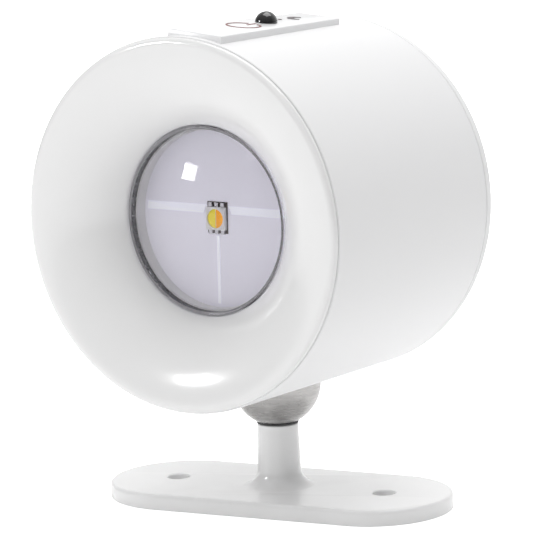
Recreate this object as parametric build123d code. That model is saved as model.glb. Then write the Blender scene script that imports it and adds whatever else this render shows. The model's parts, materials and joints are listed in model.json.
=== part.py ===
from build123d import *
import os
from math import atan, cos, degrees, radians, sin, sqrt

# Magnetic-ball spot lamp. All sizes in millimetres.
# Room frame: +X along the foot plate, +Z up, origin at the centre of the foot's underside.
# Ball frame: origin at the ball's centre, drum axis along Y, front towards -Y.
# Drum frame: the ball frame moved forward by drum_forward, since the seat is behind the drum's middle.

# Foot
foot_length = 82.0
foot_width = 35.0
foot_thick = 3.6
foot_edge = 0.9
fix_spacing = 51.4
fix_r = 2.5
pad_thick = 0.8
pad_inset = 2.6
stem_top_r = 4.6
stem_foot_r = 4.9
stem_fillet = 4.0

# Ball joint
ball_r = 10.0
ball_z = 27.4
drum_forward = 4.2
washer_thick = 0.4
screw_r = 2.0
screw_head_r = 3.8
screw_head_thick = 1.8
mouth_gap = 0.3
pad_in_r = 10.2
pad_out_r = 10.8
ring_in_r = 11.0
ring_out_r = 11.5
cavity_r = 11.8
pad_half_angle = 22.0
ring_half_angle = 32.0
magnet_z = 12.0
magnet_thick = 5.0
magnet_r = 8.0
yoke_thick = 2.0
clamp_thick = 2.0
socket_r = 14.8
socket_top_z = magnet_z + magnet_thick + yoke_thick
socket_screw_r = 12.0
rest_yaw = -9.3
rest_pitch = -1.55
rest_roll = 4.6

# Drum
drum_r = 41.0
drum_rear_r = 40.1
drum_wall = 2.2
drum_in_r = drum_r - drum_wall
axis_z = 40.9
front_y = -36.2
shell_front_y = -34.8
shell_rear_y = 24.5
rear_y = 28.5
rear_round = 3.0
spigot_length = 2.7
spigot_wall = 1.6
seam = 0.15
edge_break = 0.35

# Front dish and lens
lip_r = 39.3
lip_outer_r = 40.7
lip_round = 0.9
dish_r = 25.0
dish_lip_angle = 4.0
dish_wall = 2.0
mouth_r = 21.0
seat_y = -25.2
led_recess = 2.4
skirt_in_r = 23.0
skirt_out_r = 24.4
skirt_rear_y = -20.3
lens_r = 20.7
lens_flange_r = 22.8
lens_flange_thick = 1.0
lens_rise = 5.0
lens_wall = 1.8
gasket_thick = 0.4

# Light source
board_thick = 1.6
bed_thick = 0.1
package_side = 5.0
package_height = 1.0
board_turn = -5.0
window_r = 2.1
phosphor_depth = 0.3
lug_r = 27.0
sink_flange_r = 29.6

# Power
cell_r = 9.2
cell_length = 65.0
cell_z = 43.0
cradle_floor_z = 31.5
main_board_r = 30.0
main_board_y = 19.2
standoff_r = 25.0
standoff_turn = 90.0
boss_r = 33.0
usb_drop = 20.0

# Controls on the crown
strip_front_y = -33.3
strip_length = 47.4
strip_front_half = 7.2
strip_rear_half = 5.5
strip_proud = 1.0
strip_sunk = 0.9
strip_bevel = 0.3
strip_corner = 0.35
key_y = -15.2
eye_y = -6.6
night_y = 4.7
eye_r = 2.5
touch_board_z = 73.1
receiver_top_z = 78.3

drum_slope = (drum_r - drum_rear_r) / (rear_y - front_y)
crown_z = axis_z + drum_r
strip_top_z = crown_z + strip_proud
strip_floor_z = crown_z - strip_sunk
crown_tilt = (
    Pos(0, front_y, crown_z) * Rot(-degrees(atan(drum_slope)), 0, 0) * Pos(0, -front_y, -crown_z)
)
dish_centre_r = lip_r + dish_r * sin(radians(dish_lip_angle))
dish_centre_y = front_y + dish_r * cos(radians(dish_lip_angle))
flange_y = seat_y + lens_flange_thick
spacer_y = flange_y + gasket_thick
led_board_y = spacer_y + led_recess
chip_y = led_board_y - bed_thick
sink_y = led_board_y + board_thick


def box(x0, x1, y0, y1, z0, z1):
    block = Box(x1 - x0, y1 - y0, z1 - z0)
    return Pos((x0 + x1) / 2, (y0 + y1) / 2, (z0 + z1) / 2) * block


def turned(face):
    return Pos(0, 0, axis_z) * revolve(face, Axis.Y)


def turned_outline(*points):
    return turned(make_face(Polyline(*points, close=True)))


def lathe_y(r, y0, y1, x=0.0, z=0.0):
    rod = Rot(90, 0, 0) * Cylinder(r, y1 - y0)
    return Pos(x, (y0 + y1) / 2, z) * rod


def post_z(r, z0, z1, x=0.0, y=0.0):
    return Pos(x, y, (z0 + z1) / 2) * Cylinder(r, z1 - z0)


def around(count, radius, first):
    spots = []
    for step in range(count):
        angle = radians(first + 360.0 * step / count)
        spots.append((radius * cos(angle), axis_z + radius * sin(angle)))
    return spots


def outer_r(y):
    return drum_r - drum_slope * (y - front_y)


def inner_r(y):
    return outer_r(y) - drum_wall


def inside_blank(gap):
    return turned_outline((0, front_y), (inner_r(front_y) - gap, front_y),
                          (inner_r(rear_y) - gap, rear_y), (0, rear_y))


def joined(shapes):
    return Compound(list(shapes))


def base_plate():
    outline = SlotOverall(foot_length, foot_width)
    plate = extrude(outline, foot_thick)
    rim = plate.faces().sort_by(Axis.Z)[-1].edges()
    plate = fillet(rim, foot_edge)
    top = stem_top_z()
    knee = foot_thick + stem_fillet
    heel = stem_foot_r + stem_fillet
    bend = stem_fillet * cos(radians(45))
    side = Polyline((0, 1.5), (0, top), (stem_top_r, top), (stem_foot_r, knee))
    sweep_in = ThreePointArc((stem_foot_r, knee), (heel - bend, knee - bend), (heel, foot_thick))
    under = Polyline((heel, foot_thick), (heel, 1.5), (0, 1.5))
    section = make_face([side, sweep_in, under])
    plate += revolve(Rot(90, 0, 0) * section, Axis.Z)
    for x in (-fix_spacing / 2, fix_spacing / 2):
        plate -= post_z(fix_r, -1, foot_thick + 1, x)
    plate -= pad_blank(0.15)
    plate -= post_z(screw_head_r + 0.4, -1, pad_thick + screw_head_thick + 0.3)
    plate -= post_z(screw_r + 0.1, 0, top + 1)
    return plate


def stem_top_z():
    sunk = sqrt(ball_r ** 2 - stem_top_r ** 2)
    return ball_z - sunk - washer_thick


def pad_blank(grow=0.0):
    size = 2 * (grow - pad_inset)
    return extrude(SlotOverall(foot_length + size, foot_width + size), pad_thick)


def base_pad():
    pad = pad_blank()
    for x in (-fix_spacing / 2, fix_spacing / 2):
        pad -= post_z(fix_r + 1.0, -1, pad_thick + 1, x)
    return pad


def steel_ball():
    ball = Pos(0, 0, ball_z) * Sphere(ball_r)
    flat_z = stem_top_z() + washer_thick
    ball -= box(-ball_r, ball_r, -ball_r, ball_r, ball_z - 2 * ball_r, flat_z)
    ball -= post_z(screw_r + 0.02, 0, ball_z + 2)
    return ball


def ball_screw():
    head_z = pad_thick + 0.1
    head = post_z(screw_head_r, head_z, head_z + screw_head_thick)
    shank = post_z(screw_r, head_z, ball_z + 1.5)
    drive = Pos(0, 0, head_z) * extrude(RegularPolygon(1.5, 6), 1.1)
    return head + shank - drive


def stem_washer():
    low = stem_top_z()
    ring = post_z(stem_top_r + 0.1, low, low + washer_thick)
    return ring - post_z(screw_r + 0.1, 0, low + 2)


def cap_shell(r_in, r_out, half_angle):
    reach = r_out * 1.2
    side = reach * sin(radians(half_angle))
    up = reach * cos(radians(half_angle))
    shell = Sphere(r_out) - Sphere(r_in)
    wedge = make_face(Polyline((0, 0), (side, up), (side, reach), (0, reach), close=True))
    cone = revolve(Rot(90, 0, 0) * wedge, Axis.Z)
    return shell & cone


def seat_pad():
    return cap_shell(pad_in_r, pad_out_r, pad_half_angle)


def seat_ring():
    hole = post_z(3.0, 0, 2 * ball_r)
    return cap_shell(ring_in_r, ring_out_r, ring_half_angle) - hole


def socket_cup():
    cup = post_z(socket_r, 0, socket_top_z)
    cup &= Pos(0, -drum_forward, 0) * inside_blank(0.05)
    cup -= Sphere(cavity_r)
    cup -= post_z(cavity_r, -cavity_r, 0)
    cup -= post_z(magnet_r + 0.1, magnet_z, socket_top_z + 1)
    cup -= post_z(3.0, 0, socket_top_z)
    for x in (-socket_screw_r, socket_screw_r):
        cup -= post_z(0.85, socket_top_z - 6.0, socket_top_z + 1, x)
    return cup


def magnet():
    return post_z(magnet_r, magnet_z, magnet_z + magnet_thick)


def magnet_yoke():
    low = magnet_z + magnet_thick
    return post_z(magnet_r, low, low + yoke_thick)


def socket_clamp():
    plate = post_z(socket_r, socket_top_z, socket_top_z + clamp_thick)
    for x in (-socket_screw_r, socket_screw_r):
        plate -= post_z(0.95, 0, 40, x)
    return plate


def socket_screws():
    top = socket_top_z + clamp_thick
    screws = []
    for x in (-socket_screw_r, socket_screw_r):
        shank = post_z(0.8, top - 7.0, top, x)
        screws.append(shank + post_z(1.7, top, top + 1.2, x))
    return joined(screws)


def drum_shell():
    shell = turned_outline(
        (inner_r(shell_front_y), shell_front_y),
        (outer_r(shell_front_y) - edge_break, shell_front_y),
        (outer_r(shell_front_y), shell_front_y + edge_break),
        (outer_r(shell_rear_y), shell_rear_y),
        (inner_r(shell_rear_y), shell_rear_y),
    )
    inside = inside_blank(-1.0)
    for x, z in around(4, boss_r, 45.0):
        shell += lathe_y(2.6, 12.0, rear_inner_y() - 0.1, x, z)
        web = box(-1.0, 1.0, 12.0, spigot_front_y() - 0.2, boss_r - axis_z, drum_r - 1.6 - axis_z)
        shell += Pos(0, 0, axis_z) * (Rot(0, turn_of(x, z), 0) * Pos(0, 0, axis_z) * web)
        shell -= lathe_y(1.05, 13.0, shell_rear_y + 3, x, z)
    for side in (-1, 1):
        ledge = box(min(side * 29.0, side * 39.5), max(side * 29.0, side * 39.5), -16.5, 16.5,
                    cradle_floor_z - 3.0, cradle_floor_z)
        shell += ledge & inside
        for y in (-13.0, 13.0):
            shell -= post_z(0.85, cradle_floor_z - 4, cradle_floor_z + 1, side * 31.2, y)
    for y in (-21.5, 11.5):
        shell += crown_tilt * post_z(2.0, touch_board_z + 1.2, crown_z - 1.2, 0, y)
        shell -= crown_tilt * post_z(0.85, touch_board_z, touch_board_z + 5.0, 0, y)
    shell -= post_z(ball_r + mouth_gap, -6, 6, 0, drum_forward)
    shell -= crown_tilt * strip_blank(0.05, 3.0)
    shell -= crown_tilt * post_z(eye_r + 0.1, crown_z - 6, crown_z + 3, 0, eye_y)
    return shell


def turn_of(x, z):
    side = 1 if x > 0 else -1
    if z > axis_z:
        return side * 45.0
    return side * 135.0


def rear_inner_y():
    return rear_y - 2.6


def spigot_front_y():
    return shell_rear_y - spigot_length


def rear_cover():
    low = shell_rear_y + seam
    edge_r = outer_r(rear_y - rear_round)
    spigot_r = inner_r(shell_rear_y) - 0.15
    spigot_in_r = spigot_r - spigot_wall
    outer = [
        Polyline((0, rear_inner_y()), (0, rear_y), (edge_r - rear_round, rear_y)),
        RadiusArc((edge_r - rear_round, rear_y), (edge_r, rear_y - rear_round), rear_round),
        Polyline((edge_r, rear_y - rear_round), (outer_r(low), low), (spigot_r, low),
                 (spigot_r, spigot_front_y()), (spigot_in_r, spigot_front_y()),
                 (spigot_in_r, rear_inner_y()), (0, rear_inner_y())),
    ]
    cover = turned(make_face(outer))
    for x, z in around(4, boss_r, 45.0):
        cover -= lathe_y(1.2, 20, rear_y + 1, x, z)
        cover -= lathe_y(2.5, rear_y - 1.5, rear_y + 1, x, z)
    for x, z in around(3, standoff_r, standoff_turn):
        cover += lathe_y(2.4, main_board_y + board_thick, rear_inner_y() + 0.5, x, z)
        cover -= lathe_y(0.85, main_board_y, main_board_y + 7.0, x, z)
    usb_z = axis_z - usb_drop
    slot = Pos(0, 0, usb_z) * (Rot(90, 0, 0) * extrude(SlotOverall(9.6, 3.8), 20, both=True))
    well = Pos(0, rear_y + 5 - 1.2, usb_z) * (Rot(90, 0, 0) * extrude(SlotOverall(13.0, 7.0), 5, both=True))
    cover -= slot
    cover -= well
    cover -= lathe_y(0.9, 20, rear_y + 1, 11.0, usb_z)
    return cover


def rear_cover_screws():
    screws = []
    for x, z in around(4, boss_r, 45.0):
        shank = lathe_y(1.0, 14.5, rear_y - 1.5, x, z)
        head = lathe_y(2.3, rear_y - 1.5, rear_y - 0.2, x, z)
        cross = box(-1.3, 1.3, rear_y - 0.9, rear_y + 1, -0.25, 0.25)
        cross += box(-0.25, 0.25, rear_y - 0.9, rear_y + 1, -1.3, 1.3)
        screws.append(shank + head - Pos(x, 0, z) * cross)
    return joined(screws)


def dish_y(r, radius):
    return dish_centre_y - sqrt(radius ** 2 - (dish_centre_r - r) ** 2)


def dish_arc(r0, r1, radius):
    mid = (r0 + r1) / 2
    return ThreePointArc((r0, dish_y(r0, radius)), (mid, dish_y(mid, radius)), (r1, dish_y(r1, radius)))


def front_bezel():
    back = dish_r - dish_wall
    lip_y = dish_y(lip_r, dish_r)
    shoulder_y = lip_y + lip_round
    groove_y = shell_front_y - 0.25
    spigot_r = inner_r(groove_y + 5.5) - 0.15
    section = [
        dish_arc(mouth_r, lip_r, dish_r),
        ThreePointArc((lip_r, lip_y), (lip_r + 0.99, lip_y + 0.26), (lip_outer_r, shoulder_y)),
        Polyline((lip_outer_r, shoulder_y), (lip_outer_r, groove_y), (spigot_r, groove_y),
                 (spigot_r, groove_y + 5.5), (36.9, groove_y + 5.5), (36.9, dish_y(36.9, back))),
        dish_arc(36.9, skirt_out_r, back),
        Polyline((skirt_out_r, dish_y(skirt_out_r, back)), (skirt_out_r, skirt_rear_y),
                 (skirt_in_r, skirt_rear_y), (skirt_in_r, seat_y), (mouth_r, seat_y),
                 (mouth_r, dish_y(mouth_r, dish_r))),
    ]
    bezel = turned(make_face(section))
    for x, z in around(3, lug_r, 90.0):
        top = dish_y(lug_r, back) - 0.5
        bezel += lathe_y(2.4, top, skirt_rear_y, x, z)
        bezel -= lathe_y(0.85, skirt_rear_y - 6.0, skirt_rear_y + 1, x, z)
    return bezel


def dome_y(r, rise, radius):
    reach = (radius ** 2 + rise ** 2) / (2 * rise)
    return dome_base_y() - rise + reach - sqrt(reach ** 2 - r ** 2)


def dome_base_y():
    return dish_y(mouth_r, dish_r) - 0.1


def lens():
    inner_r = lens_r - lens_wall
    base = dome_base_y()
    inner_base = base + 0.4
    outer_mid = lens_r / 2
    rise_in = lens_rise - lens_wall + 0.4
    reach_in = (inner_r ** 2 + rise_in ** 2) / (2 * rise_in)
    mid_in = inner_r / 2
    peak_in = inner_base - rise_in
    section = [
        ThreePointArc((0, base - lens_rise), (outer_mid, dome_y(outer_mid, lens_rise, lens_r)),
                      (lens_r, base)),
        Polyline((lens_r, base), (lens_r, seat_y), (lens_flange_r, seat_y),
                 (lens_flange_r, flange_y), (inner_r, flange_y), (inner_r, inner_base)),
        ThreePointArc((inner_r, inner_base),
                      (mid_in, peak_in + reach_in - sqrt(reach_in ** 2 - mid_in ** 2)), (0, peak_in)),
        Line((0, peak_in), (0, base - lens_rise)),
    ]
    return turned(make_face(section))


def lens_gasket():
    return turned_outline((lens_r - 1.2, flange_y), (lens_flange_r, flange_y),
                          (lens_flange_r, spacer_y), (lens_r - 1.2, spacer_y))


def board_spacer():
    return turned_outline((lens_r - 1.2, spacer_y), (lens_flange_r, spacer_y),
                          (lens_flange_r, led_board_y), (lens_r - 1.2, led_board_y))


def led_board():
    board = lathe_y(lens_flange_r, led_board_y, sink_y, 0, axis_z)
    return board - wire_slot()


def wire_slot():
    return box(-3.0, 3.0, led_board_y - 1, sink_y + 20, axis_z - 21.8, axis_z - 19.9)


def board_tracks():
    thick = 0.12
    low = led_board_y - thick
    clear = lathe_y(package_side * 0.78, low - 1, led_board_y + 1, 0, axis_z)
    disc = lathe_y(lens_r - 2.0, low, led_board_y, 0, axis_z)
    wide = box(-lens_r, lens_r, low, led_board_y, axis_z + 1.0, axis_z + 2.8) & disc
    drop = box(-0.35, 0.35, low, led_board_y, axis_z - lens_r, axis_z) & disc
    wide -= clear
    drop -= clear
    return joined(wide.solids() + drop.solids())


def chip_bed():
    return box(-2.6, 2.7, chip_y, led_board_y, axis_z - 3.3, axis_z + 3.6)


def led_package():
    half = package_side / 2
    low = chip_y - package_height
    body = box(-half, half, low, chip_y, axis_z - half, axis_z + half)
    body -= lathe_y(window_r, low - 1, low + phosphor_depth + 0.4, 0, axis_z)
    return body


def led_terminals():
    half = package_side / 2
    pads = []
    for x in (-1.6, 0.0, 1.6):
        for side in (-1, 1):
            z0 = axis_z + side * half
            z1 = axis_z + side * (half + 0.95)
            pads.append(box(x - 0.45, x + 0.45, chip_y - 0.45, chip_y, min(z0, z1), max(z0, z1)))
    return joined(pads)


def phosphor_half(side):
    low = chip_y - package_height + phosphor_depth
    disc = lathe_y(window_r - 0.02, low, low + 0.38, 0, axis_z)
    edge = side * 0.08
    far = side * window_r
    return disc & box(min(edge, far), max(edge, far), low - 1, low + 1, axis_z - 3, axis_z + 3)


def heat_sink():
    sink = lathe_y(lens_flange_r, sink_y, -18.4, 0, axis_z)
    sink += lathe_y(sink_flange_r, skirt_rear_y + 0.1, -18.4, 0, axis_z)
    core = lathe_y(21.0, -19.0, -13.0, 0, axis_z)
    for step in range(-3, 4):
        x = 6.0 * step
        sink += box(x - 0.8, x + 0.8, -19.0, -13.0, axis_z - 17.6, axis_z + 22) & core
    for x, z in around(3, lug_r, 90.0):
        sink -= lathe_y(0.95, -30, -10, x, z)
    sink -= lathe_y(lens_flange_r + 0.1, skirt_rear_y - 1, sink_y, 0, axis_z)
    return sink - wire_slot()


def heat_sink_screws():
    screws = []
    for x, z in around(3, lug_r, 90.0):
        shank = lathe_y(0.8, skirt_rear_y - 5.0, -18.4, x, z)
        screws.append(shank + lathe_y(1.7, -18.4, -17.1, x, z))
    return joined(screws)


def battery_cell():
    cell = Rot(0, 90, 0) * Cylinder(cell_r, cell_length)
    return Pos(0, 0, cell_z) * cell


def battery_cradle():
    half = cell_length / 2 + 1.0
    cradle = box(-half - 1.6, half + 1.6, -10.6, 10.6, cradle_floor_z, cell_z)
    channel = Rot(0, 90, 0) * Cylinder(cell_r + 0.2, 2 * half)
    cradle -= Pos(0, 0, cell_z) * channel
    for x in (-31.2, 31.2):
        cradle += box(x - 3.0, x + 3.0, -16.0, 16.0, cradle_floor_z, cradle_floor_z + 2.0)
        for y in (-13.0, 13.0):
            cradle -= post_z(0.95, cradle_floor_z - 1, cradle_floor_z + 4, x, y)
    return cradle - (Pos(0, 0, cell_z) * channel)


def cradle_screws():
    top = cradle_floor_z + 2.0
    screws = []
    for x in (-31.2, 31.2):
        for y in (-13.0, 13.0):
            shank = post_z(0.8, top - 4.6, top, x, y)
            screws.append(shank + post_z(1.6, top, top + 1.1, x, y))
    return joined(screws)


def battery_contacts():
    plates = []
    for side in (-1, 1):
        near = side * (cell_length / 2)
        far = side * (cell_length / 2 + 0.6)
        plates.append(box(min(near, far), max(near, far), -3.5, 3.5, cell_z - 5.0, cell_z + 11.6))
    return joined(plates)


def main_board():
    board = lathe_y(main_board_r, main_board_y, main_board_y + board_thick, 0, axis_z)
    for x, z in around(3, standoff_r, standoff_turn):
        board -= lathe_y(0.95, 0, 40, x, z)
    return board


def main_board_parts():
    front = main_board_y
    return joined([
        box(-17.0, -9.0, front - 4.0, front, 22.5, 30.0),
        box(8.0, 13.0, front - 1.2, front, 23.0, 28.0),
        box(15.5, 18.0, front - 1.8, front, 28.0, 30.5),
        box(-3.6, 3.6, front - 4.5, front, 23.5, 29.5),
        box(-3.6, 3.6, front - 4.5, front, 56.0, 61.5),
        lathe_y(3.0, front - 5.0, front, -14.0, 60.0),
    ])


def main_board_screws():
    screws = []
    for x, z in around(3, standoff_r, standoff_turn):
        shank = lathe_y(0.8, main_board_y, main_board_y + 6.0, x, z)
        screws.append(shank + lathe_y(1.7, main_board_y - 1.3, main_board_y, x, z))
    return joined(screws)


def usb_socket():
    y0 = main_board_y + board_thick
    y1 = rear_inner_y() - 0.4
    spot = Pos(0, y0, axis_z - usb_drop) * Rot(-90, 0, 0)
    shell = extrude(SlotOverall(9.0, 3.2), y1 - y0)
    mouth = Pos(0, 0, 1.2) * extrude(SlotOverall(8.3, 2.5), y1)
    tongue = Pos(0, 0, (y1 - y0) / 2 - 0.3) * Box(6.6, 0.7, y1 - y0 - 0.8)
    return spot * (shell - mouth + tongue)


def charge_light():
    return lathe_y(0.85, main_board_y + board_thick, rear_y - 0.1, 11.0, axis_z - usb_drop)


def tube(points, radii, r):
    path = FilletPolyline(*points, radius=radii)
    start = Plane(origin=path @ 0, z_dir=path % 0)
    return sweep(start * Circle(r), path=path)


def led_wires():
    wires = []
    for x in (-2.0, 2.0):
        z = axis_z - 20.85
        points = [(x, sink_y, z), (x, -18.0, z + 0.1), (x, -12.6, 26.0), (x, -4.0, 27.6),
                  (x, 4.0, 26.2), (x, main_board_y - 4.6, 26.6)]
        wires.append(tube(points, [1.6, 3.0, 3.0, 3.0], 0.6))
    return joined(wires)


def battery_wires():
    wires = []
    for side in (-1, 1):
        top = cell_z + 11.6
        points = [(side * 32.8, 0, top + 0.15), (side * 32.4, 1.0, top + 3.2),
                  (side * 26.0, 9.0, top + 4.0), (side * 16.0, main_board_y - 0.6, top + 2.0)]
        wires.append(tube(points, [1.6, 3.0], 0.6))
    return joined(wires)


def strip_outline(grow=0.0):
    rear = strip_front_y + strip_length
    return Polyline(
        (-strip_front_half - grow, strip_front_y - grow),
        (strip_front_half + grow, strip_front_y - grow),
        (strip_rear_half + grow, rear + grow),
        (-strip_rear_half - grow, rear + grow),
        close=True,
    )


def strip_blank(grow, above):
    face = make_face(strip_outline(grow))
    return Pos(0, 0, strip_floor_z) * extrude(face, strip_top_z - strip_floor_z + above)


def control_strip():
    strip = strip_blank(0.0, 0.0)
    strip = fillet(strip.edges().filter_by(lambda e: abs(e.tangent_at(0.5).Z) > 0.9), strip_corner)
    strip = chamfer(strip.faces().sort_by(Axis.Z)[-1].edges(), strip_bevel)
    return strip - post_z(eye_r + 0.05, 0, strip_top_z + 1, 0, eye_y)


def power_icon():
    ring = Circle(3.9) - Circle(3.5)
    gap = Pos(0, 3.7) * Rectangle(2.4, 2.4)
    bar = Pos(0, 3.0) * Rectangle(0.4, 3.2)
    marks = [extrude(face, 0.1) for face in (ring - gap).faces()] + [extrude(bar, 0.1)]
    return joined([Pos(0, key_y, strip_top_z) * mark for mark in marks])


def night_icon():
    moon = Circle(1.9) - Pos(0.9, 0.5) * Circle(1.6)
    return Pos(0, night_y, strip_top_z) * extrude(moon, 0.1)


def status_light():
    return post_z(0.5, strip_top_z, strip_top_z + 0.1, -1.0, 0.0)


def ir_dome():
    base = post_z(eye_r, receiver_top_z + 0.1, strip_top_z, 0, eye_y)
    return base + Pos(0, eye_y, strip_top_z) * Sphere(eye_r)


def ir_receiver():
    return box(-3.0, 3.0, eye_y - 2.6, eye_y + 2.6, touch_board_z + 1.2, receiver_top_z)


def touch_board():
    board = box(-6.0, 6.0, -24.0, 14.0, touch_board_z, touch_board_z + 1.2)
    for y in (-21.5, 11.5):
        board -= post_z(0.95, touch_board_z - 1, touch_board_z + 3, 0, y)
    return board


def touch_board_screws():
    screws = []
    for y in (-21.5, 11.5):
        shank = post_z(0.8, touch_board_z, touch_board_z + 5.0, 0, y)
        screws.append(shank + post_z(1.7, touch_board_z - 1.2, touch_board_z, 0, y))
    return joined(screws)


def touch_pillars():
    pillars = []
    for y in (key_y, night_y):
        pillars.append(post_z(2.4, touch_board_z + 1.2, axis_z + drum_in_r - 0.3, 0, y))
    return joined(pillars)


def touch_cable():
    top = touch_board_z
    end_y = main_board_y - 0.4
    centre = Polyline((12.6, top - 0.3), (12.6, top - 2.0), (end_y, 66.0), (end_y, 63.0))
    ribbon = make_face(offset(centre, 0.25))
    return Pos(4.0, 0, 0) * extrude(Plane.YZ * ribbon, 2.0, both=True)


# Assembly
ball_place = (
    Pos(0, 0, ball_z) * Rot(0, 0, rest_yaw) * Rot(rest_pitch, 0, 0) * Rot(0, rest_roll, 0)
)
drum_place = ball_place * Pos(0, -drum_forward, 0)
chip_place = drum_place * Pos(0, 0, axis_z) * Rot(0, board_turn, 0) * Pos(0, 0, -axis_z)
crown_place = drum_place * crown_tilt

foot_nodes = {
    "base_plate": base_plate,
    "base_pad": base_pad,
    "steel_ball": steel_ball,
    "ball_screw": ball_screw,
    "stem_washer": stem_washer,
}

ball_nodes = {
    "seat_pad": seat_pad,
    "seat_ring": seat_ring,
    "socket_cup": socket_cup,
    "magnet": magnet,
    "magnet_yoke": magnet_yoke,
    "socket_clamp": socket_clamp,
    "socket_screws": socket_screws,
}

drum_nodes = {
    "drum_shell": drum_shell,
    "rear_cover": rear_cover,
    "rear_cover_screws": rear_cover_screws,
    "front_bezel": front_bezel,
    "lens": lens,
    "lens_gasket": lens_gasket,
    "board_spacer": board_spacer,
    "led_board": led_board,
    "heat_sink": heat_sink,
    "heat_sink_screws": heat_sink_screws,
    "battery_cell": battery_cell,
    "battery_cradle": battery_cradle,
    "cradle_screws": cradle_screws,
    "battery_contacts": battery_contacts,
    "battery_wires": battery_wires,
    "main_board": main_board,
    "main_board_parts": main_board_parts,
    "main_board_screws": main_board_screws,
    "usb_socket": usb_socket,
    "charge_light": charge_light,
    "led_wires": led_wires,
}

chip_nodes = {
    "board_tracks": board_tracks,
    "chip_bed": chip_bed,
    "led_package": led_package,
    "led_terminals": led_terminals,
    "phosphor_cool": lambda: phosphor_half(-1),
    "phosphor_warm": lambda: phosphor_half(1),
}

crown_nodes = {
    "control_strip": control_strip,
    "power_icon": power_icon,
    "night_icon": night_icon,
    "status_light": status_light,
    "ir_dome": ir_dome,
    "ir_receiver": ir_receiver,
    "touch_board": touch_board,
    "touch_board_screws": touch_board_screws,
    "touch_pillars": touch_pillars,
    "touch_cable": touch_cable,
}

os.makedirs("parts", exist_ok=True)
groups = [
    (Pos(0, 0, 0), foot_nodes),
    (ball_place, ball_nodes),
    (drum_place, drum_nodes),
    (chip_place, chip_nodes),
    (crown_place, crown_nodes),
]
for place, nodes in groups:
    for name, make in nodes.items():
        export_step(place * make(), f"parts/{name}.step")
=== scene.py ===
import json
from math import asin, atan, cos, degrees, pi, radians, sin, sqrt

import bmesh
import bpy
from mathutils import Matrix, Vector


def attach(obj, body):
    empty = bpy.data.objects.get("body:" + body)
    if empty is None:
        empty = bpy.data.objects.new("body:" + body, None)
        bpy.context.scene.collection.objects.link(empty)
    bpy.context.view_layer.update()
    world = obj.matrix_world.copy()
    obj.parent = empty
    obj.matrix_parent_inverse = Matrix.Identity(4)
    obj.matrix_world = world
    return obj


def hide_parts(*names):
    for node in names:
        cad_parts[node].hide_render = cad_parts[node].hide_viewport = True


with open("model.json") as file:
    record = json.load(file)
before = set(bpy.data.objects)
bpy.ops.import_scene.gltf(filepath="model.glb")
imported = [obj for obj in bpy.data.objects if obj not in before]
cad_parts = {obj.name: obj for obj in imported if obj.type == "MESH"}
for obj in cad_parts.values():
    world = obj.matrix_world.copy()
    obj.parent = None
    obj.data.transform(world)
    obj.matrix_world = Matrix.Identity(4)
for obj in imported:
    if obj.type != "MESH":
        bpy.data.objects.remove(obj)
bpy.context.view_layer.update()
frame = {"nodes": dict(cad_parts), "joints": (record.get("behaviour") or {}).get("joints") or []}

nodes = frame["nodes"]
joints = {joint["name"]: joint for joint in frame["joints"]}
print("frame loaded:", len(nodes), "nodes")

# Pieces are modelled in millimetres and placed in metres.
millimetre = Matrix.Scale(0.001, 4)
ballCentre = Vector(joints["tilt"]["pos_m"])
lampTurn = Matrix((joints["tilt"]["axis"], joints["roll"]["axis"], joints["lift_off"]["axis"])).transposed()
lampPlace = Matrix.Translation(ballCentre) @ lampTurn.to_4x4() @ millimetre
case = {
    "forward": 4.2, "axisHeight": 40.9, "front": 36.2, "rear": 28.5, "frontRadius": 41.0, "rearRadius": 40.1,
}
draft = (case["frontRadius"] - case["rearRadius"]) / (case["front"] + case["rear"])
drumPlace = lampPlace @ Matrix.Translation((0, -case["forward"], 0))
# On the drum axis local +Z looks out of the lens and local +Y is up.
axisPlace = drumPlace @ Matrix.Translation((0, 0, case["axisHeight"])) @ Matrix.Rotation(pi / 2, 4, "X")
# The crown controls follow the slight draft of the drum.
crownPoint = Matrix.Translation((0, -case["front"], case["axisHeight"] + case["frontRadius"]))
crownPlace = drumPlace @ crownPoint @ Matrix.Rotation(-atan(draft), 4, "X") @ crownPoint.inverted()
footPlace = millimetre


def outerRadius(z):
    return case["frontRadius"] - draft * (case["front"] - z)


studio = {
    "target": (-0.0015, 0.0, 0.0536),
    "azimuth": 26.07,
    "elevation": 10.46,
    "roll": -1.99,
    "distance": 0.8948,
    "focal": 270.2,
    "lightAim": (0, 0, 0.06),
}


def addCamera(kit):
    azimuth, elevation = radians(kit["azimuth"]), radians(kit["elevation"])
    back = Vector((sin(azimuth) * cos(elevation), -cos(azimuth) * cos(elevation), sin(elevation)))
    data = bpy.data.cameras.new("studioCamera")
    data.lens = kit["focal"]
    data.sensor_width = 36.0
    data.clip_start = 0.01
    camera = bpy.data.objects.new("studioCamera", data)
    bpy.context.scene.collection.objects.link(camera)
    turn = back.to_track_quat("Z", "Y").to_matrix() @ Matrix.Rotation(radians(kit["roll"]), 3, "Z")
    camera.matrix_world = Matrix.Translation(Vector(kit["target"]) + back * kit["distance"]) @ turn.to_4x4()
    bpy.context.scene.camera = camera


addCamera(studio)
bpy.context.scene.view_settings.view_transform = "Standard"


def arc(centre, radius, start, end, count):
    spots = []
    for step in range(count + 1):
        angle = radians(start + (end - start) * step / count)
        spots.append((centre[0] + radius * cos(angle), centre[1] + radius * sin(angle)))
    return spots


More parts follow.
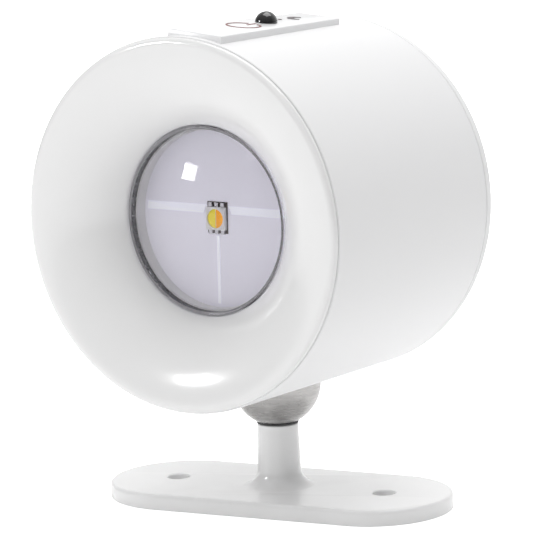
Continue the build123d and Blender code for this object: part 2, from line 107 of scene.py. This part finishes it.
def spun(points, steps=192, closed=True):
    bm = bmesh.new()
    verts = [bm.verts.new((r, 0, z)) for r, z in points]
    edges = [bm.edges.new(pair) for pair in zip(verts, verts[1:])]
    if closed:
        edges.append(bm.edges.new((verts[-1], verts[0])))
    bmesh.ops.spin(bm, geom=verts + edges, cent=(0, 0, 0), axis=(0, 0, 1), angle=2 * pi,
                   steps=steps, use_merge=True, use_duplicate=False)
    bmesh.ops.remove_doubles(bm, verts=bm.verts, dist=1e-4)
    bmesh.ops.recalc_face_normals(bm, faces=bm.faces)
    return bm


def raiseFaces(bm, height):
    grown = bmesh.ops.extrude_face_region(bm, geom=list(bm.faces))
    raised = [item for item in grown["geom"] if isinstance(item, bmesh.types.BMVert)]
    bmesh.ops.translate(bm, verts=raised, vec=(0, 0, height))


def makePiece(bm, name, place, sharp=32.0):
    bmesh.ops.transform(bm, matrix=place, verts=bm.verts)
    mesh = bpy.data.meshes.new(name)
    bm.to_mesh(mesh)
    bm.free()
    mesh.polygons.foreach_set("use_smooth", [True] * len(mesh.polygons))
    mesh.set_sharp_from_angle(angle=radians(sharp))
    piece = bpy.data.objects.new(name, mesh)
    bpy.context.scene.collection.objects.link(piece)
    return piece


def carve(piece, cutters, mode="DIFFERENCE", sharp=32.0):
    for cutter in cutters:
        trim = piece.modifiers.new("trim", "BOOLEAN")
        trim.operation = mode
        trim.solver = "EXACT"
        trim.object = cutter
    bpy.context.view_layer.update()
    graph = bpy.context.evaluated_depsgraph_get()
    mesh = bpy.data.meshes.new_from_object(piece.evaluated_get(graph))
    piece.modifiers.clear()
    old = piece.data
    piece.data = mesh
    bpy.data.meshes.remove(old)
    mesh.polygons.foreach_set("use_smooth", [True] * len(mesh.polygons))
    mesh.set_sharp_from_angle(angle=radians(sharp))
    for cutter in cutters:
        bpy.data.objects.remove(cutter)
    return piece


def dress(piece, bodyName, material, slotName, *cadNodes):
    piece.data.materials.clear()
    piece.data.materials.append(material)
    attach(piece, bodyName)
    if cadNodes:
        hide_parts(*cadNodes)
    return piece


def makeGroup(name, inputs, outputs):
    group = bpy.data.node_groups.new(name, "ShaderNodeTree")
    for label, kind, value in inputs:
        socket = group.interface.new_socket(label, in_out="INPUT", socket_type=kind)
        if value is not None:
            socket.default_value = value
    for label, kind in outputs:
        group.interface.new_socket(label, in_out="OUTPUT", socket_type=kind)
    return group, group.nodes.new("NodeGroupInput"), group.nodes.new("NodeGroupOutput")


def noiseNode(tree, vector, scale, detail=2.0, roughness=0.5):
    node = tree.nodes.new("ShaderNodeTexNoise")
    node.inputs["Detail"].default_value = detail
    node.inputs["Roughness"].default_value = roughness
    tree.links.new(vector, node.inputs["Vector"])
    if isinstance(scale, float):
        node.inputs["Scale"].default_value = scale
    else:
        tree.links.new(scale, node.inputs["Scale"])
    return node.outputs["Fac"]


def mathNode(tree, operation, *values):
    node = tree.nodes.new("ShaderNodeMath")
    node.operation = operation
    for slot, value in zip(node.inputs, values):
        if isinstance(value, (int, float)):
            slot.default_value = value
        else:
            tree.links.new(value, slot)
    return node.outputs[0]


def mixColour(tree, factor, first, second):
    node = tree.nodes.new("ShaderNodeMix")
    node.data_type = "RGBA"
    for label, value in (("Factor", factor), ("A", first), ("B", second)):
        slot = [one for one in node.inputs if one.name == label and one.enabled][0]
        if isinstance(value, (int, float, tuple)):
            slot.default_value = value
        else:
            tree.links.new(value, slot)
    return [one for one in node.outputs if one.enabled][0]


def grainGroup():
    # Moulded or sprayed skin: a fine orange peel, slow gloss changes and faint handling smudges.
    group, entry, outlet = makeGroup(
        "surfaceGrain",
        [("Vector", "NodeSocketVector", None), ("Colour", "NodeSocketColor", (0.8, 0.8, 0.8, 1)),
         ("Grain Scale", "NodeSocketFloat", 3000.0), ("Roughness", "NodeSocketFloat", 0.4),
         ("Variation", "NodeSocketFloat", 0.05), ("Tone", "NodeSocketFloat", 0.02)],
        [("Colour", "NodeSocketColor"), ("Roughness", "NodeSocketFloat"), ("Height", "NodeSocketFloat")])
    vector = entry.outputs["Vector"]
    fine = noiseNode(group, vector, entry.outputs["Grain Scale"], 3.0, 0.6)
    slow = noiseNode(group, vector, 42.0, 2.0, 0.5)
    smudge = noiseNode(group, vector, 160.0, 4.0, 0.65)
    smear = mathNode(group, "MULTIPLY", mathNode(group, "SUBTRACT", smudge, 0.55), 1.4)
    drift = mathNode(group, "SUBTRACT", slow, 0.5)
    spread = mathNode(group, "ADD", drift, mathNode(group, "MAXIMUM", smear, 0.0))
    rough = mathNode(group, "MULTIPLY_ADD", spread, entry.outputs["Variation"], entry.outputs["Roughness"])
    dim = mathNode(group, "MULTIPLY", slow, entry.outputs["Tone"])
    tone = mixColour(group, dim, entry.outputs["Colour"], (0.32, 0.30, 0.28, 1))
    group.links.new(tone, outlet.inputs["Colour"])
    group.links.new(rough, outlet.inputs["Roughness"])
    group.links.new(fine, outlet.inputs["Height"])
    return group


def brushGroup():
    # Turned or brushed metal: fine lines round one axis, with a little haze.
    group, entry, outlet = makeGroup(
        "brushedMetal",
        [("Vector", "NodeSocketVector", None), ("Colour", "NodeSocketColor", (0.6, 0.6, 0.6, 1)),
         ("Roughness", "NodeSocketFloat", 0.25), ("Contrast", "NodeSocketFloat", 0.2)],
        [("Colour", "NodeSocketColor"), ("Roughness", "NodeSocketFloat"), ("Height", "NodeSocketFloat")])
    stretch = group.nodes.new("ShaderNodeMapping")
    stretch.inputs["Scale"].default_value = (260.0, 260.0, 4200.0)
    group.links.new(entry.outputs["Vector"], stretch.inputs["Vector"])
    lines = noiseNode(group, stretch.outputs["Vector"], 1.0, 4.0, 0.6)
    haze = noiseNode(group, entry.outputs["Vector"], 210.0, 2.0, 0.5)
    swing = mathNode(group, "MULTIPLY", mathNode(group, "SUBTRACT", lines, 0.5), entry.outputs["Contrast"])
    rough = mathNode(group, "ADD", entry.outputs["Roughness"], swing)
    blend = mathNode(group, "MULTIPLY_ADD", lines, 0.55, mathNode(group, "MULTIPLY", haze, 0.25))
    tone = mixColour(group, blend, entry.outputs["Colour"], (0.22, 0.21, 0.21, 1))
    group.links.new(tone, outlet.inputs["Colour"])
    group.links.new(rough, outlet.inputs["Roughness"])
    group.links.new(lines, outlet.inputs["Height"])
    return group


surfaceGrain = grainGroup()
brushedMetal = brushGroup()


def baseMaterial(name, settings):
    material = bpy.data.materials.new(name)
    material.use_nodes = True
    shader = material.node_tree.nodes["Principled BSDF"]
    for label, value in settings.items():
        shader.inputs[label].default_value = value
    place = material.node_tree.nodes.new("ShaderNodeTexCoord")
    return material, material.node_tree, shader, place.outputs["Object"]


def useGroup(tree, shader, vector, group, values, bump, distance):
    node = tree.nodes.new("ShaderNodeGroup")
    node.node_tree = group
    for label, value in values.items():
        node.inputs[label].default_value = value
    tree.links.new(vector, node.inputs["Vector"])
    tree.links.new(node.outputs["Colour"], shader.inputs["Base Color"])
    tree.links.new(node.outputs["Roughness"], shader.inputs["Roughness"])
    relief = tree.nodes.new("ShaderNodeBump")
    relief.inputs["Strength"].default_value = bump
    relief.inputs["Distance"].default_value = distance
    tree.links.new(node.outputs["Height"], relief.inputs["Height"])
    tree.links.new(relief.outputs["Normal"], shader.inputs["Normal"])
    return node


def plastic(name, colour, roughness, grain=2600.0, bump=0.12, variation=0.06, tone=0.02, **settings):
    material, tree, shader, vector = baseMaterial(name, {"IOR": 1.5, **settings})
    values = {"Colour": (*colour, 1), "Roughness": roughness, "Grain Scale": grain,
              "Variation": variation, "Tone": tone}
    useGroup(tree, shader, vector, surfaceGrain, values, bump, 0.00005)
    return material


def metal(name, colour, roughness, contrast=0.2, bump=0.08, **settings):
    material, tree, shader, vector = baseMaterial(name, {"Metallic": 1.0, **settings})
    values = {"Colour": (*colour, 1), "Roughness": roughness, "Contrast": contrast}
    useGroup(tree, shader, vector, brushedMetal, values, bump, 0.00003)
    return material


def clearPlastic(name, tint, roughness):
    material, tree, shader, vector = baseMaterial(
        name, {"IOR": 1.3, "Transmission Weight": 1.0, "Base Color": (*tint, 1)})
    haze = noiseNode(tree, vector, 90.0, 2.0, 0.5)
    tree.links.new(mathNode(tree, "MULTIPLY_ADD", haze, 0.02, roughness), shader.inputs["Roughness"])
    return material


glossWhite = plastic("glossWhite", (0.86, 0.86, 0.86), 0.16, 900.0, 0.03, 0.05, 0.01,
                     **{"Coat Weight": 0.5, "Coat Roughness": 0.06})
satinWhite = plastic("satinWhite", (0.86, 0.86, 0.865), 0.42, 4200.0, 0.16, 0.06, 0.012)
stripWhite = plastic("stripWhite", (0.87, 0.87, 0.88), 0.2, 900.0, 0.03)
# Painted shade: a darker grey copy of the strip plastic, put on the strip's sides and bevel.
stripSidePaintedShade = plastic("stripSidePaintedShade", (0.46, 0.46, 0.48), 0.3)
lensClear = clearPlastic("lensClear", (0.94, 0.93, 0.97), 0.0)
ballSteel = metal("ballSteel", (0.62, 0.61, 0.60), 0.26, 0.3, 0.1)
screwSteel = metal("screwSteel", (0.55, 0.55, 0.56), 0.34)
tinned = metal("tinned", (0.75, 0.75, 0.76), 0.28)
castAluminium = metal("castAluminium", (0.72, 0.73, 0.75), 0.45)
blackResin = plastic("blackResin", (0.006, 0.006, 0.007), 0.06, 900.0, 0.01, 0.03, 0.0,
                     **{"Coat Weight": 1.0, "Coat Roughness": 0.03})
blackPart = plastic("blackPart", (0.02, 0.02, 0.022), 0.45)
darkSilicone = plastic("darkSilicone", (0.05, 0.05, 0.052), 0.6, 5200.0, 0.2)
greyFoam = plastic("greyFoam", (0.14, 0.14, 0.145), 0.85, 2300.0, 0.9, 0.1, 0.2)
greyMould = plastic("greyMould", (0.2, 0.2, 0.21), 0.5, 3600.0, 0.15)
# Painted light: the board and its tracks glow faintly to stand in for lamp light that the clear lens keeps
# from reaching them.
boardWhitePaintedGlow = plastic("boardWhitePaintedGlow", (0.80, 0.795, 0.83), 0.35, 2400.0, 0.05,
                     **{"Emission Color": (0.78, 0.77, 0.84, 1), "Emission Strength": 0.17})
trackWhitePaintedGlow = plastic("trackWhitePaintedGlow", (0.86, 0.87, 0.90), 0.3, 2400.0, 0.05,
                     **{"Emission Color": (0.80, 0.82, 0.88, 1), "Emission Strength": 0.27})
boardGreen = plastic("boardGreen", (0.02, 0.14, 0.06), 0.35, 2400.0, 0.1)
cellSleeve = plastic("cellSleeve", (0.05, 0.16, 0.42), 0.22, 1200.0, 0.05)
packageWhite = plastic("packageWhite", (0.85, 0.85, 0.82), 0.35)
chipBrown = plastic("chipBrown", (0.09, 0.07, 0.06), 0.5)
# Painted light: the phosphors of the unlit light source glow faintly.
phosphorYellowPaintedGlow = plastic("phosphorYellowPaintedGlow", (0.75, 0.62, 0.06), 0.4, 5200.0, 0.1,
                         **{"Emission Color": (0.8, 0.68, 0.02, 1), "Emission Strength": 0.25})
phosphorOrangePaintedGlow = plastic("phosphorOrangePaintedGlow", (0.85, 0.33, 0.0), 0.4, 5200.0, 0.1,
                         **{"Emission Color": (0.9, 0.40, 0.0, 1), "Emission Strength": 0.25})
wireSkin = plastic("wireSkin", (0.35, 0.02, 0.02), 0.4)
filmRed = plastic("filmRed", (0.20, 0.05, 0.04), 0.4)
filmDark = plastic("filmDark", (0.10, 0.08, 0.085), 0.4)
print("materials made")


foot = {
    "length": 82.0, "width": 35.0, "thick": 3.6, "edge": 0.9, "underEdge": 0.25,
    "holeSpacing": 51.4, "holeRadius": 2.5, "holeBreak": 0.25, "holeFlare": 2.0,
    "padInset": 2.45, "padDepth": 0.8,
    "stemTop": 4.6, "stemFoot": 4.9, "stemFillet": 4.0, "stemTopZ": 18.12, "boreRadius": 2.1,
    "stemBreak": 0.25, "stemSink": 1.5, "stemOverlap": 0.03,
    "counterbore": 4.2, "counterboreDepth": 2.9, "boreEnd": 20.0, "cutterStart": -1.0,
}


def slotBlank(length, width, low, high, segments=128):
    # A round blank parted at its middle makes the slot shape.
    bm = bmesh.new()
    bmesh.ops.create_circle(bm, cap_ends=True, segments=segments, radius=width / 2,
                            matrix=Matrix.Rotation(pi / segments, 4, "Z"))
    half = (length - width) / 2
    for vert in bm.verts:
        vert.co.x += half if vert.co.x > 0 else -half
        vert.co.z = low
    raiseFaces(bm, high - low)
    bmesh.ops.recalc_face_normals(bm, faces=bm.faces)
    return bm


def rimEdges(bm, height):
    return [edge for edge in bm.edges if all(abs(vert.co.z - height) < 1e-4 for vert in edge.verts)]


def roundRim(bm, height, width, segments):
    bmesh.ops.bevel(bm, geom=rimEdges(bm, height), offset=width, offset_type="OFFSET", affect="EDGES",
                    segments=segments, profile=0.5, material=-1, clamp_overlap=True)


def holeCutter(kit, x):
    radius, widen = kit["holeRadius"], kit["holeBreak"]
    start, flare = kit["cutterStart"], radius + kit["holeFlare"]
    outline = [(0, start), (flare, start), (flare, kit["padDepth"]), (radius, kit["padDepth"]),
               (radius, kit["thick"] - widen), (radius + widen * 2, kit["thick"] + widen),
               (0, kit["thick"] + widen)]
    bm = spun(outline, 64, closed=False)
    bmesh.ops.translate(bm, verts=bm.verts, vec=(x, 0, 0))
    return makePiece(bm, "holeCutter", footPlace)


def stemBlank(kit):
    heel = kit["stemFoot"] + kit["stemFillet"]
    knee = kit["thick"] + kit["stemFillet"] - kit["stemOverlap"]
    top, root, ease = kit["stemTopZ"], kit["thick"] - kit["stemSink"], kit["stemBreak"]
    outline = [(0, top), (kit["stemTop"] - ease, top), (kit["stemTop"], top - ease)]
    outline += arc((heel, knee), kit["stemFillet"], 180, 270, 14)
    outline += [(heel, root), (0, root)]
    return makePiece(spun(outline, 96, closed=False), "stemBlank", footPlace)


def makeFoot(kit):
    bm = slotBlank(kit["length"], kit["width"], 0, kit["thick"])
    roundRim(bm, kit["thick"], kit["edge"], 6)
    roundRim(bm, 0, kit["underEdge"], 2)
    plate = makePiece(bm, "footPlate", footPlace)
    carve(plate, [stemBlank(kit)], "UNION")
    half = kit["holeSpacing"] / 2
    start, end, step = kit["cutterStart"], kit["boreEnd"], kit["counterboreDepth"]
    inset = 2 * kit["padInset"]
    recess = slotBlank(kit["length"] - inset, kit["width"] - inset, start, kit["padDepth"])
    padCutter = makePiece(recess, "padCutter", footPlace)
    bore = [(0, start), (kit["counterbore"], start), (kit["counterbore"], step), (kit["boreRadius"], step),
            (kit["boreRadius"], end), (0, end)]
    boreCutter = makePiece(spun(bore, 64, closed=False), "boreCutter", footPlace)
    carve(plate, [holeCutter(kit, -half), holeCutter(kit, half), padCutter, boreCutter])
    dress(plate, "foot", glossWhite, "gloss_white", "base_plate")


makeFoot(foot)
print("foot made")


ball = {"radius": 10.0, "height": 27.4, "flat": 8.88}


def makeBall(kit):
    start = -degrees(asin(kit["flat"] / kit["radius"]))
    outline = [(0, -kit["flat"])] + arc((0, 0), kit["radius"], start, 90, 72)
    bm = spun(outline, 160, closed=False)
    place = footPlace @ Matrix.Translation((0, 0, kit["height"]))
    dress(makePiece(bm, "steelBall", place), "ball", ballSteel, "steel", "steel_ball")


makeBall(ball)
print("ball made")


drum = {
    "wall": 2.2, "front": 34.8, "rear": -24.5, "edgeBreak": 0.4, "seamBreak": 0.15,
    "mouthRadius": 10.3, "mouthBreak": 0.35, "mouthEdge": 0.15,
    "mouthLow": -7.0, "mouthTop": 8.0, "mouthFlare": 6.0,
}


def makeDrum(kit):
    wall, e = kit["wall"], kit["edgeBreak"]
    r, far = outerRadius(kit["front"]), outerRadius(kit["rear"])
    seam = kit["seamBreak"]
    outline = [(far - wall, kit["rear"]), (far - seam, kit["rear"]), (far, kit["rear"] + seam)]
    outline += [(r, kit["front"] - e)] + arc((r - e, kit["front"] - e), e, 0, 90, 5)[1:]
    outline += [(r - wall, kit["front"])]
    shell = makePiece(spun(outline, 256), "drumShell", axisPlace)
    mouth, wide, edge = kit["mouthRadius"], kit["mouthBreak"], kit["mouthEdge"]
    low, top = kit["mouthLow"], kit["mouthTop"]
    cutter = [(0, low), (mouth + kit["mouthFlare"], low), (mouth + wide, edge), (mouth, edge + wide * 1.6),
              (mouth, top), (0, top)]
    carve(shell, [makePiece(spun(cutter, 128, closed=False), "mouthCutter", lampPlace)])
    dress(shell, "lamp_head", satinWhite, "satin_white", "drum_shell")


makeDrum(drum)
print("drum made")


rear = {
    "face": -case["rear"], "round": 3.0, "seam": -24.65, "seamBreak": 0.15, "inner": -25.9,
    "spigot": 37.81, "spigotIn": 36.21, "spigotFront": -21.8,
    "screwCircle": 33.0, "screwRadius": 2.5, "screwDepth": 1.5,
    "portDrop": 20.0, "portSlot": (9.6, 3.8), "portWell": (13.0, 7.0), "wellDepth": 1.2,
    "lightOffset": 11.0, "lightRadius": 0.9, "cutterInside": -20.0, "cutterPast": 1.0,
}


def slotCutter(length, width, near, far, drop):
    bm = slotBlank(length, width, near, far, 64)
    bmesh.ops.translate(bm, verts=bm.verts, vec=(0, -drop, 0))
    return makePiece(bm, "slotCutter", axisPlace)


def roundCutter(radius, near, far, x=0.0, y=0.0):
    bm = spun([(0, near), (radius, near), (radius, far), (0, far)], 48, closed=False)
    bmesh.ops.translate(bm, verts=bm.verts, vec=(x, y, 0))
    return makePiece(bm, "roundCutter", axisPlace)


def makeRear(kit):
    face, bend = kit["face"], kit["round"]
    r, low = outerRadius(face + bend), outerRadius(kit["seam"])
    outline = [(0, face), (r - bend, face)] + arc((r - bend, face + bend), bend, 270, 360, 14)[1:-1]
    seam, ease = kit["seam"], kit["seamBreak"]
    outline += [(low, seam - ease), (low - ease, seam), (kit["spigot"], seam)]
    outline += [(kit["spigot"], kit["spigotFront"]), (kit["spigotIn"], kit["spigotFront"]),
                (kit["spigotIn"], kit["inner"]), (0, kit["inner"])]
    panel = makePiece(spun(outline, 256, closed=False), "rearCover", axisPlace)
    past, inside, drop = face - kit["cutterPast"], kit["cutterInside"], kit["portDrop"]
    cutters = []
    for turn in (45, 135, 225, 315):
        x, y = kit["screwCircle"] * cos(radians(turn)), kit["screwCircle"] * sin(radians(turn))
        cutters.append(roundCutter(kit["screwRadius"], face + kit["screwDepth"], past, x, y))
    cutters.append(slotCutter(*kit["portWell"], face + kit["wellDepth"], past, drop))
    cutters.append(slotCutter(*kit["portSlot"], inside, past, drop))
    cutters.append(roundCutter(kit["lightRadius"], inside, past, kit["lightOffset"], -drop))
    carve(panel, cutters)
    dress(panel, "lamp_head", satinWhite, "satin_white", "rear_cover")


makeRear(rear)
print("rear cover made")


bezel = {
    "front": case["front"], "lip": 39.3, "lipOuter": 40.7, "lipRound": 0.9, "groove": 35.05,
    "dish": 25.0, "lipAngle": 4.0, "mouth": 21.0, "wall": 2.0, "seat": 25.2,
    "skirtIn": 23.0, "skirtOut": 24.4, "skirtRear": 20.3, "spigot": 38.55, "spigotIn": 36.9,
    "spigotDepth": 5.5, "mouthBreak": (0.12, 0.15), "dishSteps": 40, "lipSteps": 10, "backSteps": 16,
}


def dishCentre(kit):
    turn = radians(kit["lipAngle"])
    return kit["lip"] + kit["dish"] * sin(turn), kit["front"] - kit["dish"] * cos(turn)


def dishHeight(kit, r, radius):
    across, up = dishCentre(kit)
    return up + sqrt(radius ** 2 - (across - r) ** 2)


def makeBezel(kit):
    back = kit["dish"] - kit["wall"]
    inward, down = kit["mouthBreak"]
    mouthTop = dishHeight(kit, kit["mouth"], kit["dish"])
    outline = [(kit["mouth"] + inward, dishHeight(kit, kit["mouth"] + inward, kit["dish"]))]
    for step in range(1, kit["dishSteps"] + 1):
        r = kit["mouth"] + (kit["lip"] - kit["mouth"]) * step / kit["dishSteps"]
        outline.append((r, dishHeight(kit, r, kit["dish"])))
    lipTop = outline[-1][1]
    reach = kit["lipOuter"] - kit["lip"]
    for step in range(1, kit["lipSteps"] + 1):
        turn = pi / 2 * (1 - step / kit["lipSteps"])
        outline.append((kit["lip"] + reach * cos(turn), lipTop - kit["lipRound"] * (1 - sin(turn))))
    outline += [(kit["lipOuter"], kit["groove"]), (kit["spigot"], kit["groove"]),
                (kit["spigot"], kit["groove"] - kit["spigotDepth"]),
                (kit["spigotIn"], kit["groove"] - kit["spigotDepth"])]
    for step in range(kit["backSteps"] + 1):
        r = kit["spigotIn"] + (kit["skirtOut"] - kit["spigotIn"]) * step / kit["backSteps"]
        outline.append((r, dishHeight(kit, r, back)))
    outline += [(kit["skirtOut"], kit["skirtRear"]), (kit["skirtIn"], kit["skirtRear"]),
                (kit["skirtIn"], kit["seat"]), (kit["mouth"], kit["seat"]), (kit["mouth"], mouthTop - down)]
    piece = makePiece(spun(outline, 256), "frontBezel", axisPlace)
    dress(piece, "lamp_head", glossWhite, "gloss_white", "front_bezel")


makeBezel(bezel)

lens = {
    "radius": 20.7, "flange": 22.8, "flangeThick": 1.0, "rise": 5.0, "wall": 0.8, "innerDrop": 0.4,
    "sunk": 0.1, "edge": 0.35, "edgeDrop": 0.7,
}


def domeArc(radius, rise, base, count):
    reach = (radius ** 2 + rise ** 2) / (2 * rise)
    spots = []
    for step in range(count + 1):
        r = radius * step / count
        spots.append((r, base + rise - reach + sqrt(reach ** 2 - r ** 2)))
    return spots


def makeLens(kit, holder):
    base = dishHeight(holder, holder["mouth"], holder["dish"]) + kit["sunk"]
    edge, seat, inner = kit["edge"], holder["seat"], kit["radius"] - kit["wall"]
    outline = domeArc(kit["radius"], kit["rise"], base, 48)[:-1]
    outline += arc((kit["radius"] - edge, base - edge * kit["edgeDrop"]), edge, 55, 0, 5)
    outline += [(kit["radius"], seat), (kit["flange"], seat), (kit["flange"], seat - kit["flangeThick"]),
                (inner, seat - kit["flangeThick"])]
    outline += domeArc(inner, kit["rise"] - kit["wall"] + kit["innerDrop"], base - kit["innerDrop"], 40)[::-1]
    piece = makePiece(spun(outline, 192, closed=False), "lensDome", axisPlace, 40)
    dress(piece, "lamp_head", lensClear, "clear_lens", "lens")


makeLens(lens, bezel)
print("bezel and lens made")


chip = {
    "side": 5.0, "height": 1.0, "window": 2.1, "windowDepth": 0.35, "edge": 0.15, "board": 21.5, "turn": 5.0,
}


def makePackage(kit):
    bm = bmesh.new()
    bmesh.ops.create_cube(bm, size=1.0)
    bmesh.ops.scale(bm, vec=(kit["side"], kit["side"], kit["height"]), verts=bm.verts)
    bmesh.ops.translate(bm, verts=bm.verts, vec=(0, 0, kit["board"] + kit["height"] / 2))
    bmesh.ops.bevel(bm, geom=list(bm.edges), offset=kit["edge"], affect="EDGES", segments=2, profile=0.5,
                    material=-1)
    piece = makePiece(bm, "lightPackage", axisPlace @ Matrix.Rotation(radians(kit["turn"]), 4, "Z"))
    top = kit["board"] + kit["height"]
    carve(piece, [roundCutter(kit["window"], top - kit["windowDepth"], top + kit["windowDepth"])])
    dress(piece, "lamp_head", packageWhite, "gloss_white", "led_package")


makePackage(chip)
print("light source made")


strip = {
    "front": -33.3, "length": 47.4, "frontHalf": 7.2, "rearHalf": 5.5, "corner": 0.35,
    "low": 81.0, "top": 82.9, "bevel": 0.3, "eyeY": -6.6, "eyeRadius": 2.5, "eyeSunk": 3.5,
}


def makeStrip(kit):
    bm = bmesh.new()
    near, far = kit["front"], kit["front"] + kit["length"]
    corners = [(-kit["frontHalf"], near), (kit["frontHalf"], near),
               (kit["rearHalf"], far), (-kit["rearHalf"], far)]
    bm.faces.new([bm.verts.new((x, y, kit["low"])) for x, y in corners])
    raiseFaces(bm, kit["top"] - kit["low"])
    upright = [edge for edge in bm.edges if abs(edge.verts[0].co.z - edge.verts[1].co.z) > 0.5]
    bmesh.ops.bevel(bm, geom=upright, offset=kit["corner"], affect="EDGES", segments=6, profile=0.5,
                    material=-1)
    bmesh.ops.bevel(bm, geom=rimEdges(bm, kit["top"]), offset=kit["bevel"], affect="EDGES", segments=2,
                    profile=0.5, material=-1)
    bmesh.ops.recalc_face_normals(bm, faces=bm.faces)
    # Faces that do not look straight up take the painted-shade grey.
    for item in bm.faces:
        item.material_index = 0 if item.normal.z > 0.95 else 1
    piece = makePiece(bm, "controlStrip", crownPlace)
    dress(piece, "lamp_head", stripWhite, "gloss_white", "control_strip")
    piece.data.materials.append(stripSidePaintedShade)


def makeEye(kit):
    r, top = kit["eyeRadius"], kit["top"]
    low = top - kit["eyeSunk"]
    outline = [(0, low), (r, low), (r, top)] + arc((0, top), r, 0, 90, 20)[1:]
    bm = spun(outline, 64, closed=False)
    bmesh.ops.translate(bm, verts=bm.verts, vec=(0, kit["eyeY"], 0))
    dress(makePiece(bm, "receiverDome", crownPlace), "lamp_head", blackResin, "black_plastic", "ir_dome")


makeStrip(strip)
makeEye(strip)
print("crown controls made")


finishes = {
    greyFoam: ["base_pad"],
    screwSteel: ["ball_screw", "socket_screws", "rear_cover_screws", "heat_sink_screws", "cradle_screws",
                 "main_board_screws", "touch_board_screws", "magnet_yoke"],
    darkSilicone: ["stem_washer", "seat_pad", "touch_pillars"],
    chipBrown: ["chip_bed"],
    blackPart: ["seat_ring", "main_board_parts", "ir_receiver"],
    greyMould: ["socket_cup", "socket_clamp", "battery_cradle"],
    tinned: ["magnet", "led_terminals", "battery_contacts", "usb_socket"],
    boardWhitePaintedGlow: ["led_board"],
    trackWhitePaintedGlow: ["board_tracks"],
    phosphorYellowPaintedGlow: ["phosphor_cool"],
    phosphorOrangePaintedGlow: ["phosphor_warm"],
    castAluminium: ["heat_sink"],
    cellSleeve: ["battery_cell"],
    boardGreen: ["main_board", "touch_board"],
    wireSkin: ["battery_wires", "led_wires", "touch_cable"],
    lensClear: ["charge_light"],
    packageWhite: ["board_spacer", "lens_gasket"],
    filmRed: ["power_icon"],
    filmDark: ["night_icon", "status_light"],
}
for finish, names in finishes.items():
    for name in names:
        slots = nodes[name].data.materials
        slots.clear()
        slots.append(finish)
print("finishes given")


def addFloor():
    bm = bmesh.new()
    bmesh.ops.create_grid(bm, x_segments=1, y_segments=1, size=3000.0)
    floor = makePiece(bm, "floor", footPlace)
    material, tree, shader, vector = baseMaterial("floorPaper", {
        "Roughness": 0.9, "Specular IOR Level": 0.0, "Base Color": (0.85, 0.85, 0.85, 1),
        "Emission Color": (1, 1, 1, 1)})
    path = tree.nodes.new("ShaderNodeLightPath")
    glow = mathNode(tree, "MULTIPLY_ADD", path.outputs["Is Camera Ray"], 0.55, 0.14)
    tree.links.new(glow, shader.inputs["Emission Strength"])
    floor.data.materials.append(material)


lights = {
    "key": {"at": (-0.71, -0.62, 0.335), "size": (0.15, 0.12), "power": 1.7, "glossy": True},
    "front": {"at": (0.05, -0.75, 0.7), "size": (0.6, 0.4), "power": 1.4, "glossy": False},
    "back": {"at": (-0.45, 0.85, 0.45), "size": (0.5, 0.4), "power": 3.7, "glossy": False},
    "top": {"at": (0.05, 0.15, 1.0), "size": (0.8, 0.8), "power": 5.5, "glossy": True},
}


def addLight(name, kit):
    data = bpy.data.lights.new(name, "AREA")
    data.shape = "RECTANGLE"
    data.size, data.size_y = kit["size"]
    data.energy = kit["power"]
    lamp = bpy.data.objects.new(name, data)
    spot = Vector(kit["at"])
    lamp.location = spot
    lamp.visible_glossy = kit["glossy"]
    lamp.rotation_euler = (spot - Vector(studio["lightAim"])).to_track_quat("Z", "Y").to_euler()
    bpy.context.scene.collection.objects.link(lamp)


def addWorld():
    world = bpy.data.worlds.new("studioAir")
    bpy.context.scene.world = world
    world.use_nodes = True
    tree = world.node_tree
    air = tree.nodes["Background"]
    air.inputs["Color"].default_value = (1, 1, 1, 1)
    place = tree.nodes.new("ShaderNodeTexCoord")
    heading = tree.nodes.new("ShaderNodeSeparateXYZ")
    tree.links.new(place.outputs["Generated"], heading.inputs[0])
    height = mathNode(tree, "MAXIMUM", heading.outputs["Z"], 0.0)
    behind = mathNode(tree, "MAXIMUM", heading.outputs["Y"], 0.0)
    glow = mathNode(tree, "MULTIPLY_ADD", height, 0.42, mathNode(tree, "MULTIPLY_ADD", behind, 0.7, 0.12))
    path = tree.nodes.new("ShaderNodeLightPath")
    strength = mathNode(tree, "MAXIMUM", glow, path.outputs["Is Camera Ray"])
    tree.links.new(strength, air.inputs["Strength"])


addFloor()
for lightName, lightKit in lights.items():
    addLight(lightName, lightKit)
addWorld()
print("studio made")
